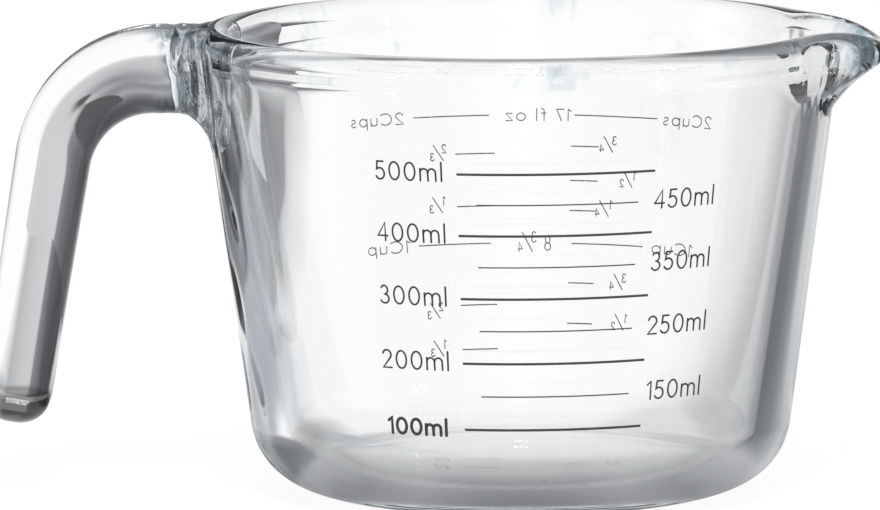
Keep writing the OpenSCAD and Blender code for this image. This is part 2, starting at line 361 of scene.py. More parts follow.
def outward(verts, faces):
    """The faces, turned round if the closed mesh is inside out."""
    v = np.asarray(verts)
    tris = np.array([f[:3] for f in faces] + [[f[0], f[2], f[3]] for f in faces if len(f) == 4])
    volume = np.einsum("ij,ij->i", v[tris[:, 0]], np.cross(v[tris[:, 1]], v[tris[:, 2]])).sum()
    return faces if volume > 0 else [f[::-1] for f in faces]


def place(piece, slot, *nodes):
    """Rides the piece on the jug and hides the CAD nodes that it stands for. The slot is not used."""
    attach(piece, BODY)
    if nodes:
        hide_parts(*nodes)


# Materials

WHITE = (1, 1, 1, 1)
# Powers that turn a grey faintly blue, for red, green and blue
COOL = (1.04, 1.02, 0.98)
# Ramps that rise from 0 to 1 and fall from 1 to 0
RISE, FALL = ((0, 0), (1, 1)), ((0, 1), (1, 0))


def group(name, taken, given):
    """A new shader node group that takes and gives the named sockets, with its sockets on the inside."""
    tree = bpy.data.node_groups.new(name, "ShaderNodeTree")
    for way, sockets in (("INPUT", taken), ("OUTPUT", given)):
        for label, kind, *value in sockets:
            made = tree.interface.new_socket(label, in_out=way, socket_type="NodeSocket" + kind)
            if value:
                made.default_value = value[0]
    return tree, tree.nodes.new("NodeGroupInput").outputs, tree.nodes.new("NodeGroupOutput").inputs


def node(tree, kind, inputs=None, **values):
    """A node with inputs linked to sockets or set to values, and settings by attribute or input name."""
    made = tree.nodes.new("ShaderNode" + kind)
    for key, value in values.items():
        if hasattr(made, key):
            setattr(made, key, value)
        else:
            made.inputs[key.replace("_", " ")].default_value = value
    for key, source in (inputs or {}).items():
        if isinstance(source, bpy.types.NodeSocket):
            tree.links.new(source, made.inputs[key])
        else:
            made.inputs[key].default_value = source
    return made


def calc(tree, operation, *values):
    """The result of a Math node on sockets and numbers."""
    return node(tree, "Math", dict(enumerate(values)), operation=operation).outputs[0]


def noise(tree, where, scale, detail, **more):
    """Soft noise from 0 to 1 over places."""
    return node(tree, "TexNoise", {"Vector": where, "Scale": scale}, Detail=detail, **more).outputs[0]


def part_way(tree, part, first, second):
    """The colour at a share of the way between two colours."""
    return node(tree, "MixRGB", {"Fac": part, "Color1": first, "Color2": second}).outputs[0]


def times(tree, *tones):
    """The product of colours."""
    return blend(tree, "MULTIPLY", *tones)


def darker(tree, *tones):
    """The darkest of colours."""
    return blend(tree, "DARKEN", *tones)


def lighter(tree, *tones):
    """The lightest of colours."""
    return blend(tree, "LIGHTEN", *tones)


def blend(tree, kind, first, *others):
    """Colours joined one after another by a kind of blend."""
    for other in others:
        first = node(tree, "MixRGB", {"Color1": first, "Color2": other}, Fac=1.0, blend_type=kind).outputs[0]
    return first


def distance(tree, x, y, x0, y0):
    """Distance of (x, y) from the point (x0, y0)."""
    gap = node(tree, "CombineXYZ", {"X": calc(tree, "SUBTRACT", x, x0), "Y": calc(tree, "SUBTRACT", y, y0)})
    return node(tree, "VectorMath", {0: gap.outputs[0]}, operation="LENGTH").outputs["Value"]


def ramp(tree, source, low, high, stops):
    """A ramp through cool greys, as (place, grey), over a value that runs from low to high."""
    part = node(tree, "MapRange", {"Value": source, "From Min": low, "From Max": high})
    made = node(tree, "ValToRGB", {"Fac": part.outputs[0]})
    elements = made.color_ramp.elements
    while len(elements) < len(stops):
        elements.new(0.5)
    for element, (at, grey) in zip(elements, stops):
        element.position = at
        element.color = (*(grey ** power for power in COOL), 1)
    return made.outputs["Color"]


def pressed_surface():
    """Height and roughness of a pressed and fire-polished glass skin."""
    name = "Pressed surface"
    if name in bpy.data.node_groups:
        return bpy.data.node_groups[name]
    tree, given, made = group(
        name, [("Ripple size", "Float", 45), ("Ripple", "Float", 1), ("Seeds", "Float", 0.002),
               ("Haze", "Float", 0.02)], [("Height", "Float"), ("Roughness", "Float")])
    where = node(tree, "TexCoord").outputs["Object"]
    stretched = node(tree, "Mapping", {"Vector": where, "Scale": (1, 1, 0.35)}).outputs[0]
    broad = noise(tree, stretched, given["Ripple size"], 1)
    grain = noise(tree, where, 900, 3)
    seeds = calc(tree, "MULTIPLY", grain, given["Seeds"])
    tree.links.new(calc(tree, "MULTIPLY_ADD", broad, given["Ripple"], seeds), made["Height"])
    smear = noise(tree, where, 35, 4)
    haze = node(tree, "MapRange", {"Value": smear, "To Max": given["Haze"]}, From_Min=0.55, From_Max=0.8)
    tree.links.new(haze.outputs[0], made["Roughness"])
    return tree


def skin_tint_and_shade():
    """Tint of the glass's skin: streaks where it was worked, between two radii, partly the glass's own colour
    and partly painted shade and highlights, and a darker tone low down.
    """
    name = "Worked skin"
    if name in bpy.data.node_groups:
        return bpy.data.node_groups[name]
    tree, given, made = group(
        name, [("Dark", "Color"), ("Pale", "Color"), ("Start", "Float", 70 * MM), ("End", "Float", 66 * MM),
               ("Foot", "Float", 1.5 * MM), ("Foot tone", "Float", 0.8)], [("Tint", "Color")])
    where = node(tree, "TexCoord").outputs["Object"]
    x, y, z = node(tree, "SeparateXYZ", {0: where}).outputs
    cloud = noise(tree, where, 120, 2)
    ragged = calc(tree, "MULTIPLY", calc(tree, "SUBTRACT", cloud, 0.5), 16 * MM)
    reach = calc(tree, "ADD", ragged, distance(tree, x, y, 0, 0))
    swirl = node(tree, "Mapping", {"Vector": where, "Scale": (0.7, 0.5, 0.25)}).outputs[0]
    streak = noise(tree, swirl, 210, 2, Distortion=2.5)
    # Dark and pale streaks: partly the worked glass's own colour, partly painted shade and painted highlights
    melted = part_way(tree, ramp(tree, streak, 0.43, 0.58, RISE), given["Dark"], given["Pale"])
    tinted = part_way(tree, ramp(tree, reach, given["Start"], given["End"], RISE), WHITE, melted)
    # A darker tone below the foot height: on the handle, painted shade at its rounded free end
    above = calc(tree, "SUBTRACT", z, given["Foot"])
    low = part_way(tree, ramp(tree, above, -0.8 * MM, 0, FALL), WHITE, given["Foot tone"])
    tree.links.new(times(tree, tinted, low), made["Tint"])
    return tree


def glass_material(name, tint, density, haze, worked, **skin):
    """Clear glass with a faint tint in its depth, and a skin tinted where it was worked and darker low down,
    partly with painted shade and highlights.
    """
    material, tree = bare_material(name)
    surface = node(tree, "Group", {"Ripple": 0.5, "Haze": haze}, node_tree=pressed_surface())
    bump = node(tree, "Bump", {"Height": surface.outputs["Height"]}, Strength=1.0, Distance=0.04 * MM)
    dark, pale = ((*(c ** power for c in worked), 1) for power in (3, 0.3))
    tint_and_shade = node(tree, "Group", node_tree=skin_tint_and_shade(), Dark=dark, Pale=pale, **skin)
    shader = node(tree, "BsdfPrincipled", {
        "Base Color": tint_and_shade.outputs["Tint"], "Roughness": surface.outputs["Roughness"],
        "Normal": bump.outputs[0], "IOR": bpy.context.scene.jug_glass.ior, "Transmission Weight": 1})
    depth = node(tree, "VolumeAbsorption", {"Color": (*tint, 1)}, Density=density)
    node(tree, "OutputMaterial", {"Surface": shader.outputs[0], "Volume": depth.outputs[0]})
    return material


def enamel_material():
    """Dark fired enamel: a satin film with a fine grain and faintly uneven cover."""
    name = "Fired enamel"
    if name in bpy.data.materials:
        return bpy.data.materials[name]
    material, tree = bare_material(name)
    base = bpy.context.scene.jug_print.enamel
    where = node(tree, "TexCoord").outputs["Object"]
    grain = noise(tree, where, 2600, 3)
    cloud = noise(tree, where, 240, 2)
    cover = node(tree, "ValToRGB", {"Fac": calc(tree, "MULTIPLY", grain, cloud)})
    for element, (at, strength) in zip(cover.color_ramp.elements, ((0.1, 0.7), (0.45, 2.0))):
        element.position = at
        element.color = (*(c * strength for c in base), 1)
    gloss = node(tree, "MapRange", {"Value": cloud, "To Min": 0.35, "To Max": 0.6})
    bump = node(tree, "Bump", {"Height": grain}, Strength=0.5, Distance=0.01 * MM)
    shader = node(tree, "BsdfPrincipled", {
        "Base Color": cover.outputs[0], "Roughness": gloss.outputs[0], "Normal": bump.outputs[0]})
    node(tree, "OutputMaterial", {"Surface": shader.outputs[0]})
    return material


def bare_material(name):
    """A new material with an empty node tree, and the tree."""
    material = bpy.data.materials.new(name)
    material.use_nodes = True
    material.node_tree.nodes.clear()
    return material, material.node_tree


# Pieces


class JUG_OT_bowl(bpy.types.Operator):
    """Make the pressed glass bowl with its rim and spout"""

    bl_idname = "jug.bowl"
    bl_label = "Bowl"

    def execute(self, context):
        s = context.scene.jug_bowl
        wall = Wall(s)
        rows, outside = wall.outline()
        u = np.arange(COLUMNS) / COLUMNS
        a = (2 * PI * u - CROWDING * np.sin(4 * PI * u) / 2)[None, :]
        radius, z = spout(s, wall, rows, a)
        inside = (np.arange(len(rows)) >= outside)[:, None]
        radius = radius + inside * unevenness(s, wall, a, rows[:, 1:])
        rings = np.stack([radius * np.cos(a), radius * np.sin(a), z + 0 * radius], -1)
        piece = new_mesh("bowl_glass", *skin(rings, (0, 0, 0), (0, 0, s.base_t)))
        glass = context.scene.jug_glass
        # The spout's streaks are partly the glass's own colour and partly painted shade and highlights; below
        # 1.5 mm, over the whole underside, the skin is a fifth darker
        piece.data.materials.append(glass_material(
            "Bowl glass", glass.bowl_tint, glass.bowl_density, 0.012, glass.spout_tint_and_shade,
            Start=64 * MM, End=67 * MM, Foot=1.5 * MM, Foot_tone=0.8))
        place(piece, GLASS_SLOT, "glass_bowl")
        return {"FINISHED"}


def along(turn):
    """Direction (aside, up) along the bar, which starts level and points down after a quarter turn."""
    return np.array([-math.cos(turn), -math.sin(turn)])


def across(turn):
    """Direction (aside, up) from the bar's inner side to its outer side."""
    return np.array([-math.sin(turn), math.cos(turn)])


def section():
    """Points round the bar, a rectangle with round corners, in shares of its half width and thickness."""
    a = np.radians(np.linspace(0, 90, CORNER_POINTS))
    x, y = 1 - CORNER_W + CORNER_W * np.cos(a), 1 - CORNER_T + CORNER_T * np.sin(a)
    t = np.arange(1, SIDE_POINTS + 1) / (SIDE_POINTS + 1)
    top = np.stack([mix(x[-1], -x[-1], t), 0 * t + 1], -1)
    side = np.stack([0 * t - 1, mix(y[0], -y[0], t)], -1)
    first = np.concatenate([np.stack([x, y], -1), top, np.stack([-x, y], -1)[::-1], side])
    return np.concatenate([first, -first])


def root_section(n):
    """Points round the root's outline, squarer than the bar, as shares of its half width and half height."""
    a = 2 * PI * (np.arange(n) + 0.5) / n
    round_shape = np.stack([np.cos(a), np.sin(a)], -1)
    return np.sign(round_shape) * np.abs(round_shape) ** (2 / ROOT_POWER)


def soften(shape, softer):
    """Places up the bar's section, with the lower corners' rounding carried higher up the flat sides."""
    flat = 1 - CORNER_T
    return np.interp(shape[:, 1], (-1, -flat, flat, 1), (-1, softer - flat, flat, 1))


def swell(shape, crown):
    """How far the bar's flat sides bulge."""
    part = 1 - limit(np.abs(shape[:, 1]) / (1 - CORNER_T)) ** 2
    return crown * np.sign(shape[:, 0]) * part ** 2


class Bar:
    """The handle's bar in the plane through the spout, and the root that meets the wall."""

    def __init__(self, s, bowl):
        self.s = s
        self.wall = Wall(bowl)
        self.shape = section()
        self.root_shape = root_section(len(self.shape))
        self.arm_z = bowl.jug_h - s.arm_drop - s.arm_t / 2
        self.top_z = bowl.jug_h - s.root_drop
        self.low_z = self.top_z - s.root_h
        self.root_x = -(self.wall.outer(self.arm_z) + s.root_len)
        self.bend_c = np.array([self.root_x, self.arm_z - s.bend_r])
        self.leg_turn = PI / 2 - s.leg_lean
        self.leg_top = self.bend_c + s.bend_r * across(self.leg_turn)
        self.leg_len = (self.leg_top[1] - s.leg_clear) / math.cos(s.leg_lean)

    def spot(self, part):
        """Points (across, height) of the root's outline, drawn in to a share of its size."""
        points = self.root_shape * part
        up = (points[:, 1] + 1) / 2
        y = points[:, 0] * self.s.root_w / 2 * mix(ROOT_FOOT, 1, up ** ROOT_SHOULDER)
        return y, mix(self.low_z, self.top_z, up)

    def contact_x(self, y, z, part=1.0):
        """Where the root's end face lies, short of the wall by the seam and by the face's own folds."""
        folded = 0.5 + 0.5 * np.sin(900 * y + 260 * z + 0.5) * np.sin(420 * z + 1.0)
        fold = self.s.seam_wave * (1 - part ** 6) * folded
        return -np.sqrt((self.wall.contact(z) + self.s.seam + fold) ** 2 - y * y)

    def end_face(self):
        """Rings of the root's end face, from its middle outwards."""
        for part in np.linspace(0.03, 0.98, FACE_RINGS):
            y, z = self.spot(part)
            yield np.stack([self.contact_x(y, z, part), y, z], -1)

    def root(self):
        """Rings of the root from the wall to the bar. It widens nearer to the wall on the bar's underside."""
        s, shape = self.s, self.shape
        fall = 1 - math.sqrt(1 - ROOT_EDGE ** 2)
        below = -shape[:, 1] * s.arm_t / 2
        delay = sum(share * ease(limit((below - start) / rise)) for share, start, rise in LATER)
        for j in range(ROOT_RINGS + 1):
            u = math.sin(PI / 2 * (1 - j / ROOT_RINGS))
            w = limit((u - delay) / (1 - delay))
            f = (1 - np.sqrt(1 - (ROOT_EDGE * w) ** 2)) / fall * ease(limit(w / 0.35))
            y, z = self.spot(1)
            y = mix(shape[:, 0] * s.arm_w / 2, y, f)
            z = mix(self.arm_z + shape[:, 1] * s.arm_t / 2, z, f)
            y, z = self.melted(y, z, u, w)
            swollen = swell(shape, s.arm_crown) * ease(1 - min(1, u / 0.35))
            yield np.stack([mix(self.root_x, self.contact_x(*self.spot(1)), u), y + swollen, z], -1)

    def melted(self, y, z, u, w):
        """Points (y, z) with the folds of the melted skin. u is 1 at the wall, w follows the root's width."""
        away = np.stack([y, z - self.arm_z], -1)
        away /= np.linalg.norm(away, axis=1)[:, None]
        start = 0.2 + 0.08 * np.sin(330 * z + 1.2) + 0.04 * np.sin(900 * z)
        depth = ease(limit((w - start) / 0.14)) * (1 - u ** 6)
        fold = np.sin(15 * u + 230 * z + 1.3 * np.sin(430 * y + 1)) + 0.6 * np.sin(27 * u - 410 * z + 2)
        return (np.stack([y, z], -1) + away * (self.s.melt * depth * (fold - 0.8))[:, None]).T

    def ring(self, c, turn, w, t, crown=0, softer=0):
        """A ring of the bar round a middle point, square to the direction that it has turned to."""
        q = c + across(turn) * soften(self.shape, softer)[:, None] * t / 2
        return np.stack([q[:, 0], self.shape[:, 0] * w / 2 + swell(self.shape, crown), q[:, 1]], -1)

    def bend(self):
        """Rings round the bend, where the bar narrows to the leg's size."""
        s = self.s
        for k in np.linspace(0, 1, BEND_RINGS + 1)[1:]:
            turn = self.leg_turn * k
            softer = s.arm_soft * ease(limit(k / 0.3)) * (1 - 0.9 * ease(limit((k - 0.75) / 0.25)))
            yield self.ring(
                self.bend_c + s.bend_r * across(turn), turn,
                mix(s.arm_w, s.leg_w, k), mix(s.arm_t, s.leg_t, k), s.arm_crown * (1 - ease(k)), softer)

    def leg(self):
        """Rings down the leg, then over its round free end."""
        s, turn = self.s, self.leg_turn
        for k in between(0, 1, LEG_RINGS):
            c = self.leg_top + along(turn) * (self.leg_len - s.leg_dome) * k
            yield self.ring(c, turn, mix(s.leg_w, s.leg_end_w, k), mix(s.leg_t, s.leg_end_t, k))
        for j in range(DOME_RINGS):
            a = PI / 2 * j / DOME_RINGS
            c = self.leg_top + along(turn) * (self.leg_len - s.leg_dome * (1 - math.sin(a)))
            yield self.ring(c, turn, s.leg_end_w * math.cos(a), s.leg_end_t * math.cos(a))

    def glass(self):
        """Vertices and faces of the whole bar."""
        rings = [*self.end_face(), *self.root(), *self.bend(), *self.leg()]
        z = mix(self.low_z, self.top_z, 0.5)
        x = self.contact_x(np.zeros(1), np.array([z]), 0)[0]
        tip = self.leg_top + along(self.leg_turn) * self.leg_len
        return skin(np.array(rings), (x, 0, z), (tip[0], 0, tip[1]))

    def bubbles(self):
        """Vertices and faces of each air bubble caught in the root."""
        s, chance = self.s, np.random.default_rng(7)
        for _ in range(s.bubbles):
            y = chance.uniform(*BUBBLE_ACROSS) * s.root_w
            z = mix(self.low_z, self.top_z, chance.uniform(*BUBBLE_UP))
            size = chance.uniform(*BUBBLE_R) * MM
            face_x = self.contact_x(np.array([y]), np.array([z]))[0]
            x = face_x - s.seam_wave - size - chance.uniform(*BUBBLE_DEPTH) * MM
            yield bubble((x, y, z), size, chance.uniform(*BUBBLE_STRETCH))


class JUG_OT_handle(bpy.types.Operator):
    """Make the solid glass handle, with the widened root that meets the wall"""

    bl_idname = "jug.handle"
    bl_label = "Handle"

    def execute(self, context):
        s = context.scene.jug_handle
        bar = Bar(s, context.scene.jug_bowl)
        verts, faces = bar.glass()
        for more, sides in bar.bubbles():
            faces += [[len(verts) + i for i in f] for f in sides]
            verts = np.concatenate([verts, more])
        piece = new_mesh("handle_glass", verts, faces)
        glass = context.scene.jug_glass
        # The seam's streaks are partly the root's own colour and partly painted shade and highlights; below
        # the leg's rounded end the skin is darkened to a quarter, painted shade
        piece.data.materials.append(glass_material(
            "Handle glass", glass.handle_tint, glass.handle_density, 0.008, glass.seam_tint_and_shade,
            Start=70 * MM, End=66 * MM, Foot=s.leg_clear + 7 * MM, Foot_tone=0.25))
        place(piece, GLASS_SLOT, "handle")
        return {"FINISHED"}


def bubble(centre, r, tall):
    """Vertices and inward faces of an air bubble, stretched upwards."""
    a = np.linspace(0, PI, 8)[1:-1, None]
    b = np.linspace(0, 2 * PI, 10, endpoint=False)[None, :]
    rings = np.stack([np.sin(a) * np.cos(b), np.sin(a) * np.sin(b), np.cos(a) * tall + 0 * b], -1) * r
    verts, faces = skin(rings, (0, 0, r * tall), (0, 0, -r * tall))
    return verts + np.array(centre), [f[::-1] for f in faces]


def pen(*parts):
    """A stroke from points (x, y) and arcs (x, y, rx, ry, from, to) in degrees."""
    points = []
    for p in parts:
        if len(p) == 2:
            points.append(p)
            continue
        x, y, rx, ry, a0, a1 = p
        steps = max(4, int(abs(a1 - a0) / 12))
        for a in np.radians(np.linspace(a0, a1, steps + 1)):
            points.append((x + rx * math.cos(a), y + ry * math.sin(a)))
    return points


# Plain single-line figures and letters: a width, then the strokes, for a figure height of 1
GLYPHS = {
    "0": (0.58, [pen((0.29, 0.5, 0.29, 0.5, 90, 450))]),
    "1": (0.20, [pen((0, 0.82), (0.2, 1), (0.2, 0))]),
    "2": (0.50, [pen((0.25, 0.73, 0.24, 0.27, 165, -35), (0, 0), (0.5, 0))]),
    "3": (0.48, [pen((0.22, 0.755, 0.2, 0.245, 150, -90), (0.22, 0.255, 0.25, 0.255, 90, -155))]),
    "4": (0.56, [pen((0.43, 0), (0.43, 1), (0, 0.27), (0.56, 0.27))]),
    "5": (0.46, [pen((0.42, 1), (0.07, 1), (0.03, 0.56), (0.2, 0.315, 0.26, 0.315, 132, -150))]),
    "7": (0.50, [pen((0, 1), (0.5, 1), (0.16, 0))]),
    "8": (0.50, [pen((0.25, 0.755, 0.2, 0.245, 90, 450)), pen((0.25, 0.255, 0.25, 0.255, 90, 450))]),
    "m": (0.86, [pen((0, 0), (0, 0.68)), pen((0, 0.42), (0.21, 0.45, 0.21, 0.23, 175, 0), (0.43, 0)),
                 pen((0.43, 0.42), (0.64, 0.45, 0.21, 0.23, 175, 0), (0.86, 0))]),
    "l": (0.02, [pen((0.01, 0), (0.01, 1.06))]),
    "C": (0.72, [pen((0.44, 0.5, 0.44, 0.5, 48, 312))]),
    "u": (0.44, [pen((0, 0.64), (0.22, 0.24, 0.22, 0.24, 180, 350), (0.44, 0.3)),
                 pen((0.44, 0.64), (0.44, 0))]),
    "p": (0.54, [pen((0, 0.66), (0, -0.3)), pen((0.27, 0.33, 0.27, 0.33, 180, 540))]),
    "s": (0.34, [pen((0.17, 0.5, 0.14, 0.16, 35, 265), (0.17, 0.17, 0.16, 0.17, 85, -145))]),
    "f": (0.30, [pen((0.23, 0.84, 0.13, 0.2, 70, 180), (0.1, 0)), pen((0, 0.64), (0.28, 0.64))]),
    "o": (0.60, [pen((0.3, 0.33, 0.3, 0.33, 90, 450))]),
    "z": (0.44, [pen((0.02, 0.64), (0.42, 0.64), (0, 0), (0.44, 0))]),
    "/": (0.85, [pen((0, -0.1), (0.85, 1.25))]),
    "-": (1, [pen((0, 0.5), (1, 0.5))]),
    " ": (0.16, []),
}
# The gap after each sign
GAP = 0.3
# A fraction's signs, from left to right: size, step aside and step up, then the width of all three
FRACTION = ((0.74, 0, 0.56), (1, 0.3, 0), (0.66, 1.15, -0.1))
FRACTION_W = 1.48


def text_strokes(text, h):
    """Strokes of a line of text at a height, and its width.
    {ab} sets a fraction: a small raised a, a slash and a small lowered b."""
    strokes, x, i = [], 0, 0
    while i < len(text):
        if text[i] == "{":
            signs = zip((text[i + 1], "/", text[i + 2]), FRACTION)
            wide, i = FRACTION_W, i + 4
        else:
            signs = [(text[i], (1, 0, 0))]
            wide, i = GLYPHS[text[i]][0], i + 1
        for sign, (size, dx, dy) in signs:
            strokes += [[(x + (dx + px * size) * h, (dy + py * size) * h) for px, py in stroke]
                        for stroke in GLYPHS[sign][1]]
        x += (wide + GAP) * h
    return strokes, x - GAP * h


def ribbon(points, w, verts, faces, film):
    """Adds a flat stroke to the lists, as a closed film in (along, up, out). Open strokes get round ends."""
    p = np.array(points, float)
    p = p[np.r_[True, np.linalg.norm(np.diff(p, axis=0), axis=1) > 1e-7]]
    d = np.diff(p, axis=0)
    d /= np.linalg.norm(d, axis=1)[:, None]
    closed = np.linalg.norm(p[0] - p[-1]) < w * 0.05
    t = np.vstack([d[:1], d[:-1] + d[1:], d[-1:]])
    if closed:
        t[0] = t[-1] = d[0] + d[-1]
    t /= np.linalg.norm(t, axis=1)[:, None]
    stretch = np.ones(len(p))
    stretch[1:-1] = 1 / np.clip(np.einsum("ij,ij->i", t[1:-1], d[1:]), 0.6, 1)
    side = np.stack([-t[:, 1], t[:, 0]], -1) * (w / 2 * stretch)[:, None]
    edges = np.stack([p + side, p - side], 1)
    if closed:
        edges = edges[:-1]
    else:
        edges = np.concatenate([round_end(p[0], t[0], w, -1), edges, round_end(p[-1], t[-1], w, 1)[::-1]])
    n, start = len(edges), len(verts)
    for left, right in edges:
        for out in (0, film):
            verts += [(*left, out), (*right, out)]
    rows = (start + 4 * np.arange(n)[:, None] + np.arange(4)).tolist()
    for a, b in zip(rows, rows[1:] + (rows[:1] if closed else [])):
        faces += [[a[0], a[1], b[1], b[0]], [a[2], b[2], b[3], a[3]],
                  [a[0], b[0], b[2], a[2]], [a[1], a[3], b[3], b[1]]]
    if not closed:
        a, b = rows[0], rows[-1]
        faces += [[a[0], a[2], a[3], a[1]], [b[0], b[1], b[3], b[2]]]


def round_end(tip, t, w, way):
    """Pairs of edge points of a stroke's round end, from its outermost inwards."""
    a = np.radians([75, 50, 25])[:, None]
    middle = tip + way * t * np.sin(a) * w / 2
    aside = np.array([-t[1], t[0]]) * np.cos(a) * w / 2
    return np.stack([middle + aside, middle - aside], 1)


def mark_z(p, part):
    """Height of a mark at a share of the millilitre scale, with steps that shorten on the way up."""
    return mix(p.scale_low_z, p.scale_high_z, part + STEP_SHRINK * part * (1 - part))


def printed(context, name, labels, side, *lines):
    """Prints labels on a side of the wall and finishes the CAD nodes of their lines. A label is its text,
    its share of the way up the scale, its middle's angle in degrees, height, stroke, rise and stretch."""
    p, wall = context.scene.jug_print, Wall(context.scene.jug_bowl)
    verts, faces = [], []
    for text, part, middle_angle, h, stroke, rise, stretch in labels:
        strokes, wide = text_strokes(text, h)
        middle = mark_z(p, part) + rise
        turn = math.radians(side * (90 - middle_angle))
        flat_verts, flat_faces = [], []
        for points in strokes:
            flat = [((x - wide / 2) * stretch, y - h / 2) for x, y in points]
            ribbon(flat, stroke, flat_verts, flat_faces, p.film)
        faces += [[len(verts) + i for i in f] for f in flat_faces]
        for x, y, out in flat_verts:
            a = turn + x / wall.outer(middle)
            r = wall.outer(middle + y) + p.lift + out
            verts.append((r * math.cos(a), r * math.sin(a), middle + y))
    piece = new_mesh(name, verts, faces, smooth=False)
    piece.data.materials.append(enamel_material())
    place(piece, ENAMEL_SLOT)
    for line in lines:
        finish_node(line)


# Shares of the millilitre scale at which the whole cups stand
ONE_CUP, TWO_CUPS = 0.398, 0.924
# Fractions of a cup: text, share of the millilitre scale, angle in degrees and rise in millimetres
CUP_PARTS = (
    ("{13}", -0.013, -19.6, 0.3), ("{23}", 0.157, -20, -1), ("{13}", 0.549, -18.2, 0.3),
    ("{23}", 0.764, -17.5, 0.2), ("{12}", 0.085, 23.6, 0.4), ("{34}", 0.242, 22.8, 0.4),
    ("{14}", 0.53, 18.6, 0.4), ("{12}", 0.652, 23.9, 0.4), ("{34}", 0.794, 19, 0.4),
)


class JUG_OT_millilitre_print(bpy.types.Operator):
    """Print the millilitre figures on the front and finish their lines"""

    bl_idname = "jug.millilitre_print"
    bl_label = "Millilitre scale"

    def execute(self, context):
        p = context.scene.jug_print
        plain = (p.letter_h, p.stroke, 0.3 * MM, 1.04)
        bold = (p.bold_h, p.bold_stroke, 0.2 * MM, 1.15)
        labels = []
        for step, at in ((8, -20.3), (6, -20.5), (4, -20.8), (2, -21.1), (0, -21.4),
                         (7, 31.6), (5, 31.8), (3, 32.0), (1, 32.3)):
            labels.append((f"{100 + 50 * step}ml", step / 8, at, *(plain if step else bold)))
        printed(context, "millilitre_figures", labels, FRONT, "millilitre_lines", "half_step_lines")
        return {"FINISHED"}


class JUG_OT_cup_print(bpy.types.Operator):
    """Print the cup figures on the back and finish their lines"""

    bl_idname = "jug.cup_print"
    bl_label = "Cup scale"

    def execute(self, context):
        p = context.scene.jug_print
        h, w = p.small_h, p.small_stroke
        labels = [
            ("2Cups", TWO_CUPS, -31.3, h, w, 0, 1.58), ("17 fl oz", TWO_CUPS, 4.0, h, w, 0, 1.4),
            ("2Cups", TWO_CUPS, 38.0, h, w, 0, 1.58), ("1Cup", ONE_CUP, -30.7, h, w, 0, 1.7),
            ("8 {34}", ONE_CUP, 3.3, 1.25 * h, w, 0, 0.9), ("1Cup", ONE_CUP, 36.6, h, w, 0, 1.75),
            ("-", TWO_CUPS, -20.6, 4 * MM, w, 0, 1), ("-", ONE_CUP, -20.8, 4.4 * MM, w, 0, 1),
            ("-", TWO_CUPS, 28.3, 3.4 * MM, w, 0, 1), ("-", ONE_CUP, 27.4, 2 * MM, w, 0, 1),
        ]
        labels += [(text, part, at, h, w, rise * MM, 1.1) for text, part, at, rise in CUP_PARTS]
        printed(context, "cup_figures", labels, BACK, "cup_lines", "third_cup_lines", "quarter_cup_lines")
        return {"FINISHED"}


def finish_node(name):
    """Gives a CAD node the enamel finish."""
    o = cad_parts[name]
    o.data.materials.clear()
    o.data.materials.append(enamel_material())


# Stage

# Lamps: name, place, width and height in metres, and watts
LAMPS = (
    ("Key light", (0, -0.45, 1.0), 0.1, 0.1, 7),
    ("Side light", (0.85, -0.6, 0.4), 0.03, 0.25, 3),
)
# Greys that the glass sees of the studio. Each is a ramp: where it starts and ends, then (place, grey) on it.
# All round, by the direction from the jug's axis: straight behind is 0.5, the spout's side 0.75
ALL_ROUND = (-PI, PI, (
    (0, 1), (0.01, 1), (0.08, 0.75), (0.18, 0.75), (0.23, 1), (0.278, 1), (0.3, 0.5), (0.464, 0.5),
    (0.475, 1), (0.525, 1), (0.536, 0.75), (0.555, 0.6), (0.58, 0.4), (0.61, 0.3), (0.67, 0.3), (0.7, 0.5),
    (0.722, 1), (0.77, 1), (0.82, 0.75), (0.92, 0.75), (0.99, 1), (1, 1)))
# From straight down to straight up: all round, and behind the jug alone, as far round as the last ramp says
HEIGHT_TONES = (-1, 1, ((0, 0.4), (0.3, 1), (0.78, 1), (0.88, 0.5), (1, 0.5)))
OVERHEAD_BEHIND = (-1, 1, ((0, 1), (0.65, 1), (0.7, 0.6), (0.78, 0.45), (1, 0.4)))
NOT_BEHIND = (0, PI, ((0, 0), (0.22, 0), (0.3, 1), (1, 1)))
# Where the floor takes the studio's own greys, by the direction from the jug's axis
FLOOR_IN_FRONT = (-PI, PI, ((0, 1), (0.275, 1), (0.31, 0), (0.82, 0), (0.86, 1), (1, 1)))
# On the floor behind the handle, across the jug along lines that lean a little
HANDLE_SIDE = (-400 * MM, 200 * MM, (
    (0, 0.03), (0.21, 0.04), (0.33, 0.05), (0.405, 0.06), (0.43, 0.11), (0.467, 0.16), (0.492, 0.24),
    (0.497, 0.54), (0.508, 0.66), (0.527, 0.85), (0.54, 1), (1, 1)))
HANDLE_LEAN = 0.043
# On the floor behind the spout's side: round from straight behind, past the spout, and light near the axis
SPOUT_SIDE = (0, PI / 2, (
    (0, 1), (0.17, 1), (0.22, 0.93), (0.27, 0.8), (0.32, 0.69), (0.4, 0.65), (0.5, 0.62), (1, 0.55)))
SPOUT_EDGE = (0, 200 * MM, (
    (0, 1), (0.17, 1), (0.18, 0.68), (0.21, 0.58), (0.25, 0.42), (0.29, 0.28), (0.33, 0.21), (0.43, 0.165),
    (0.6, 0.17), (0.8, 0.25), (1, 0.25)))
SPOUT_NEAR = (0, 100 * MM, ((0, 0.8), (0.38, 0.78), (0.64, 0), (1, 0)))
SPOUT_LEAN = -0.45
# Where an even grey lies beside the handle: across the jug, back from it, and round from the handle
GREY_ACROSS = (-100 * MM, 0, ((0, 1), (0.5, 1), (0.7, 0), (1, 0)))
GREY_BACK = (100 * MM, 200 * MM, ((0, 1), (0.35, 1), (0.55, 0), (1, 0)))
GREY_ROUND = (-PI / 2, 0, ((0, 1), (0.44, 1), (0.5, 0), (1, 0)))
GREY_LEAN = 0.33
SIDE_GREY = (0.43, 0.45, 0.48, 1)
